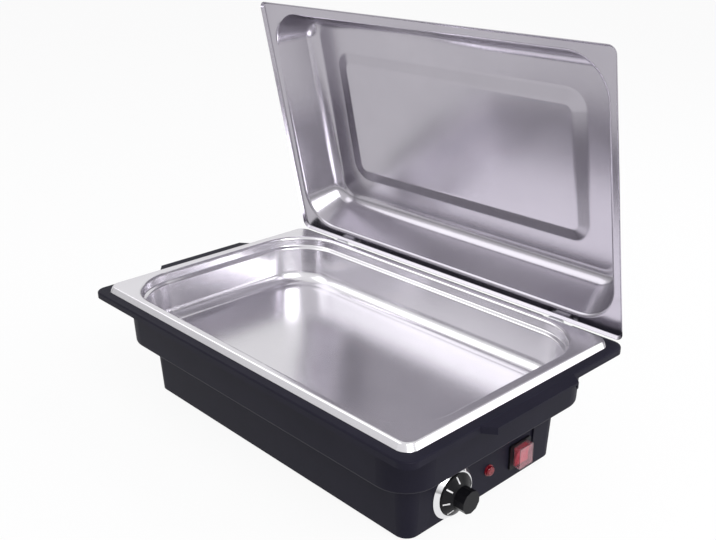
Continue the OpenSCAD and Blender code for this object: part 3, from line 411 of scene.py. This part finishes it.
# Slot: darker and lighter colour, roughness, scale of the grain, its depth in metres, specular level
PLASTICS = {
    "base_plastic": ((0.0105, 0.0098, 0.0185), (0.0135, 0.0125, 0.023), 0.5, 2600.0, 0.00012, 0.09),
    "foot_rubber": ((0.012, 0.012, 0.012), (0.02, 0.02, 0.02), 0.7, 1500.0, 0.0002, 0.25),
    "ceramic_plastic": ((0.72, 0.69, 0.62), (0.82, 0.80, 0.74), 0.55, 900.0, 0.0002, 0.5),
    "control_plastic": ((0.005, 0.005, 0.006), (0.008, 0.008, 0.010), 0.34, 1800.0, 0.00005, 0.15),
    "handle_plastic": ((0.012, 0.012, 0.014), (0.02, 0.02, 0.023), 0.4, 2200.0, 0.0001, 0.3),
    "mark_white": ((0.78, 0.78, 0.78), (0.86, 0.86, 0.86), 0.5, 1500.0, 0.00005, 0.5),
}
# Slot: darker and lighter colour, roughness, scale of the grain, its depth in metres
METALS = {
    "pan_steel": ((0.67, 0.655, 0.69), (0.73, 0.715, 0.75), 0.22, 1800.0, 0.00001),
    "lid_steel": ((0.42, 0.40, 0.445), (0.47, 0.45, 0.495), 0.22, 1800.0, 0.00001),
    "steel_hardware": ((0.50, 0.50, 0.52), (0.62, 0.62, 0.64), 0.3, 1500.0, 0.00001),
    "aluminium_sheet": ((0.72, 0.72, 0.74), (0.8, 0.8, 0.82), 0.38, 1200.0, 0.00001),
    "heater_steel": ((0.2, 0.18, 0.17), (0.34, 0.31, 0.29), 0.45, 900.0, 0.0001),
    "copper_tube": ((0.6, 0.33, 0.2), (0.74, 0.45, 0.29), 0.35, 900.0, 0.00001),
    "dial_chrome": ((0.74, 0.74, 0.76), (0.8, 0.8, 0.82), 0.10, 900.0, 0.00001),
}
# Slot: darker and lighter colour, roughness, share of light that passes through
GLOSSIES = {
    "lamp_red": ((0.20, 0.004, 0.012), (0.28, 0.006, 0.018), 0.08, 0.3),
    "rocker_red": ((0.55, 0.010, 0.045), (0.66, 0.020, 0.060), 0.2, 0.0),
    "clear_cover": ((0.95, 0.52, 0.60), (0.97, 0.66, 0.72), 0.06, 0.9),
}
materials = {}
for make, table in ((plastic, PLASTICS), (metal, METALS), (glossy, GLOSSIES)):
    for slot, values in table.items():
        materials[slot] = make(slot, *values)

slot_of = {s["node"]: s["material_slot"] for s in frame["record"]["subparts"]}
for name, obj in nodes.items():
    obj.data.materials.clear()
    obj.data.materials.append(materials[slot_of[name]])
pan_obj.data.materials.append(materials["pan_steel"])
lid_obj.data.materials.append(materials["lid_steel"])

# Studio, in metres and watts
WHITE = (1, 1, 1, 1)
FLOOR_HALF = 40
# Share of the floor that shows as plain white; the rest takes light and shadow
FLOOR_GLOW = 0.92
FLOOR_DARK = (0.93, 0.93, 0.93)
FLOOR_LIGHT = (0.95, 0.95, 0.95)
FLOOR_ROUGH = 0.8
# Light from all round
SKY_TINT = (0.96, 0.94, 1.0, 1)
SKY_STRENGTH = 0.45
# Dark cards low round the set, seen only in reflections: share of white taken away, and the rise of a
# ray up to which they are full and at which they end
CARD_SHARE = 0.6
CARD_FULL = 0.05
CARD_END = 0.30
# Softboxes: name, place, aim, sides, power, and whether reflections show them
SOFTBOXES = [
    ("key", (1.9, -0.65, 1.75), (0, 0, 0.15), (1.4, 1.4), 36, True),
    ("fill", (-1.3, -1.4, 1.9), (0, 0, 0.2), (2.2, 1.4), 12, True),
    ("rear", (0.6, 1.5, 1.9), (0, 0, 0.2), (1.2, 1.0), 16, False),
    ("side", (1.75, 1.25, 0.7), (0.25, 0, 0.15), (1.2, 0.8), 5, True),
]
# Camera: lens and sensor in millimetres, shift of one pixel in the picture's width, roll in degrees
LENS = 48.03
SENSOR = 36.0
SHIFT = -1.0 / 716
NEAR = 0.01
EYE = (0.7675, -0.6913, 0.6134)
TARGET = (0.03037, 0.0, 0.21076)
ROLL = -0.33


def staged(obj):
    bpy.context.scene.collection.objects.link(obj)
    return obj


def facing(place, aim):
    """Turn that points a lamp or camera from place to aim."""
    return (Vector(aim) - Vector(place)).to_track_quat("-Z", "Y")


floor_mesh = bpy.data.meshes.new("floor")
floor_mesh.from_pydata([(-FLOOR_HALF, -FLOOR_HALF, 0), (FLOOR_HALF, -FLOOR_HALF, 0),
                        (FLOOR_HALF, FLOOR_HALF, 0), (-FLOOR_HALF, FLOOR_HALF, 0)], [], [(0, 1, 2, 3)])
staged(bpy.data.objects.new("floor", floor_mesh))
pale = Surface("floor_pale")
pale.set(Base_Color=pale.mix(pale.span(pale.noise(scale=3.0), 0.0, 1.0), FLOOR_DARK, FLOOR_LIGHT),
         Roughness=FLOOR_ROUGH)
glow = pale.new("ShaderNodeEmission", Color=WHITE, Strength=1.0)
share = pale.calc("MULTIPLY", pale.seen_rays(), FLOOR_GLOW)
pale.put(pale.tree.nodes["Material Output"].inputs["Surface"],
         pale.blend(share, pale.shader.outputs["BSDF"], glow.outputs["Emission"]))
floor_mesh.materials.append(pale.mat)

for name, place, aim, (width, height), power, mirrored in SOFTBOXES:
    light = bpy.data.lights.new(name, "AREA")
    light.shape = "RECTANGLE"
    light.size = width
    light.size_y = height
    light.energy = power
    box = staged(bpy.data.objects.new(name, light))
    box.location = place
    box.rotation_euler = facing(place, aim).to_euler()
    box.visible_glossy = mirrored

world = bpy.data.worlds.new("studio")
bpy.context.scene.world = world
world.use_nodes = True
sky = Nodes(world.node_tree)
rise = sky.new("ShaderNodeSeparateXYZ", Vector=sky.new("ShaderNodeTexCoord").outputs["Generated"])
cards = sky.calc("MULTIPLY", sky.span(rise.outputs["Z"], CARD_SHARE, 0.0, CARD_FULL, CARD_END),
                 sky.new("ShaderNodeLightPath").outputs["Is Glossy Ray"])
seen = sky.new("ShaderNodeBackground", Color=WHITE, Strength=sky.calc("SUBTRACT", 1.0, cards))
lit = sky.new("ShaderNodeBackground", Color=SKY_TINT, Strength=SKY_STRENGTH)
sky.put(sky.tree.nodes["World Output"].inputs["Surface"],
        sky.blend(sky.seen_rays(), lit.outputs["Background"], seen.outputs["Background"]))

cam = bpy.data.cameras.new("camera")
cam.sensor_fit = "HORIZONTAL"
cam.sensor_width = SENSOR
cam.lens = LENS
cam.clip_start = NEAR
cam.shift_x = SHIFT
cam_obj = staged(bpy.data.objects.new("camera", cam))
cam_obj.location = EYE
cam_obj.rotation_euler = (facing(EYE, TARGET) @ Quaternion((0, 0, 1), math.radians(ROLL))).to_euler()
bpy.context.scene.camera = cam_obj
bpy.context.scene.view_settings.view_transform = "Standard"
